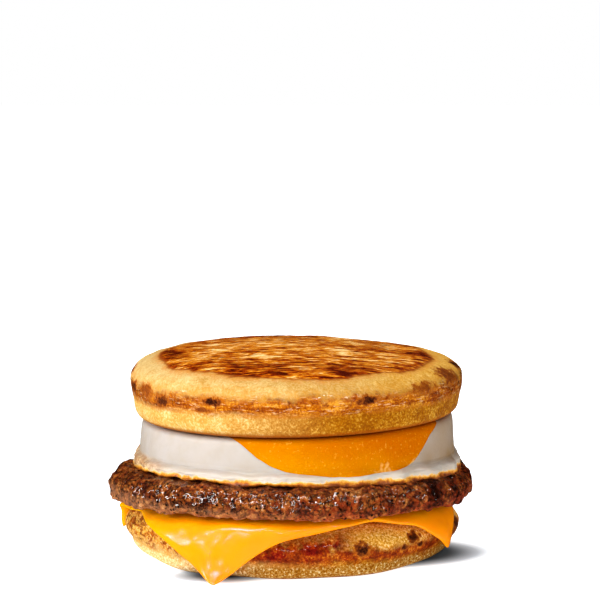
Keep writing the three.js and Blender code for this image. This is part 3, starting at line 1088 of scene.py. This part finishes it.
# Soft ridges of the hanging corners, where the slice catches the light.
CHEESE_RIDGES = (
    ((-40.5, -26.5, 15.6), (-0.25, -0.25, 0.1), 4),
    ((-38.5, -30.0, 14.5), (-0.25, -0.25, 0.1), 4),
    ((-36.5, -33.5, 13.0), (-0.25, -0.25, 0.1), 4),
    ((-34.5, -36.8, 11.6), (-0.25, -0.30, 0.1), 4),
    ((-32.5, -39.8, 10.2), (-0.25, -0.30, 0.1), 4),
    ((-30.0, -42.5, 9.2), (-0.25, -0.35, 0.1), 4),
    ((-27.0, -44.0, 10.6), (-0.10, -0.40, 0.2), 4),
    ((-24.0, -45.0, 11.0), (-0.10, -0.40, 0.2), 4),
    ((-20.5, -46.3, 11.2), (-0.10, -0.40, 0.2), 4),
    ((-17.0, -47.8, 11.0), (-0.05, -0.30, 0.2), 4),
    ((-11.5, -49.0, 11.6), (0.0, -0.35, 0.1), 4),
    ((-8.0, -48.7, 12.4), (0.0, -0.35, 0.1), 4),
    ((-4.0, -47.8, 12.7), (0.0, -0.35, 0.1), 4),
    ((-23.0, -51.0, 3.6), (-0.1, -0.35, 0.1), 4),
    ((-19.5, -51.5, 4.2), (0.0, -0.35, 0.1), 4),
    ((-21.5, -54.0, 0.8), (0.2, -1.0, -0.4), 3),
    ((42.0, -29.0, 9.0), (0.3, -0.6, 0.0), 6),
)


def build_cheese():
    """The draped slice is a copy of its CAD node, merged, pulled about and smoothed."""
    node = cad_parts["cheese_slice"]
    cheese = bpy.data.objects.new("draped_cheese", node.data.copy())
    bpy.context.scene.collection.objects.link(cheese)
    only(cheese)
    bpy.ops.object.mode_set(mode="EDIT")
    bpy.ops.mesh.select_all(action="SELECT")
    bpy.ops.mesh.remove_doubles(threshold=0.002 * MM)
    bpy.ops.mesh.tris_convert_to_quads(face_threshold=math.pi, shape_threshold=math.pi)
    bpy.ops.object.mode_set(mode="OBJECT")
    push_each(cheese, CHEESE_MOVES)
    smooth_cage(cheese, 1)
    push_each(cheese, CHEESE_RIDGES)
    smooth_cage(cheese, 2)
    relief(cheese, 14, 0.3)
    hand_over(cheese, "cheese_slice", cheese_finish())


# The studio

# The floor's colour and glow, from its darkest painted shadow to plain white.
FLOOR_PAINTED_SHADE_COLOUR = ((0, "50565a"), (0.5, "b4bec8"), (1, "e8f4fc"))
FLOOR_PAINTED_GLOW = ((0, "141414"), (0.5, "8c8c8c"), (1, "ffffff"))
STUDIO_STRENGTH = 0.18
LIGHT_AIM = Vector((0, 0, 30)) * MM

# Square lights: azimuth and height in degrees, distance in metres, energy, size, and if wet faces mirror it.
LIGHTS = (
    ("softbox", -56, 24, 1.1, 4, 0.26, False),
    ("window", -84, 22, 1.1, 2.2, 0.18, True),
    ("side_window", -62, 50, 1.1, 1, 0.13, True),
    ("overhead", -40, 53, 1, 3.8, 0.24, True),
    ("front_fill", -10, 4, 1.5, 6.5, 0.9, False),
    ("back_fill", 152, 28, 1.3, 5.6, 0.9, False),
)

# Small lights that only put glints on what is wet: azimuth and height.
SPARKLES = (
    (-70, 36), (-54, 30), (-30, 30), (-18, 46), (-4, 30), (10, 20), (24, 40), (36, 22), (48, 30), (64, 20),
    (78, 34),
)


def oval(finish, x, y, across, back):
    """How far a place is from x and y, with each of the two directions counted that many times."""
    return (((finish.x - x) * across) ** 2 + ((finish.y - y) * back) ** 2) ** 0.5


def build_floor():
    """A pale floor that glows, with painted shadows beside the sandwich and under the cheese's front corner,
    and grows brighter away from the sandwich until it meets the white studio behind.
    """
    bpy.ops.object.select_all(action="DESELECT")
    bpy.ops.mesh.primitive_plane_add(size=12, location=(0, 0, 0))
    floor = bpy.context.object
    floor.name = "floor"
    finish = Finish("pale_floor", Roughness=0.9, Emission_Strength=1, Specular_IOR_Level=0)
    # Painted shadows: an oval beside the sandwich to the right, and one under the cheese's front corner.
    beside = oval(finish, 17, -12, 1, 2)
    painted_shadow_below_corner = oval(finish, -20, -39, 0.85, 1.5)
    painted_floor_shading = beside.rise(26.5, 44).at_most(painted_shadow_below_corner.rise(3, 16))
    finish.give("Base Color", finish.ramp(painted_floor_shading, FLOOR_PAINTED_SHADE_COLOUR))
    finish.give("Emission Color", finish.ramp(painted_floor_shading, FLOOR_PAINTED_GLOW))
    floor.data.materials.append(finish.material)
    floor.visible_glossy = False


def add_light(name, azimuth, height, distance, energy, size, mirrored):
    """A square light aimed at the middle of the sandwich."""
    climb = math.radians(height)
    lamp = bpy.data.lights.new(name, "AREA")
    lamp.energy = energy
    lamp.size = size
    holder = bpy.data.objects.new(name, lamp)
    bpy.context.scene.collection.objects.link(holder)
    up = Vector((0, 0, distance * math.sin(climb)))
    holder.location = outward(azimuth, distance * math.cos(climb)) + up
    holder.rotation_euler = (LIGHT_AIM - holder.location).to_track_quat("-Z", "Y").to_euler()
    holder.visible_glossy = mirrored


def build_lights():
    """All the square lights, and an arc of small ones in front."""
    for settings in LIGHTS:
        add_light(*settings)
    for azimuth, height in SPARKLES:
        add_light("sparkle", azimuth, height, distance=1.3, energy=0.75, size=0.07, mirrored=True)


def build_studio():
    """A white studio all round: seen as plain white, and lighting the sandwich softly."""
    world = bpy.data.worlds.new("studio")
    bpy.context.scene.world = world
    world.use_nodes = True
    world.cycles_visibility.glossy = False
    nodes = world.node_tree.nodes
    links = world.node_tree.links
    seen = nodes.new("ShaderNodeLightPath")
    level = nodes.new("ShaderNodeMapRange")
    level.inputs["To Min"].default_value = STUDIO_STRENGTH
    links.new(seen.outputs["Is Camera Ray"], level.inputs["Value"])
    nodes["Background"].inputs["Color"].default_value = (1, 1, 1, 1)
    links.new(level.outputs["Result"], nodes["Background"].inputs["Strength"])


def build_camera():
    """Stands where the photograph was taken from, with the foot of the stack at its own pixel."""
    distance = math.hypot(CAMERA_BACK, CAMERA_UP)
    focal = PIXELS_PER_MM * distance
    below = math.atan((FOOT_PIXEL[1] - PICTURE / 2) / focal)
    aside = math.atan((FOOT_PIXEL[0] - PICTURE / 2) / focal)
    pitch = math.asin(CAMERA_UP / distance) - below
    data = bpy.data.cameras.new("camera")
    data.sensor_width = SENSOR
    data.lens = focal * SENSOR / PICTURE
    camera = bpy.data.objects.new("camera", data)
    camera.location = Vector((AXIS_X, AXIS_Y - CAMERA_BACK, CAMERA_UP)) * MM
    camera.rotation_euler = (math.pi / 2 - pitch, 0, aside)
    bpy.context.scene.collection.objects.link(camera)
    bpy.context.scene.camera = camera


SETTLING = settling_lattice()
build_camera()
build_bottom_cake()
build_cheese()
build_patty()
build_egg()
build_top_cake()
bpy.data.objects.remove(SETTLING)
build_floor()
build_lights()
build_studio()
bpy.context.scene.view_settings.view_transform = "Standard"
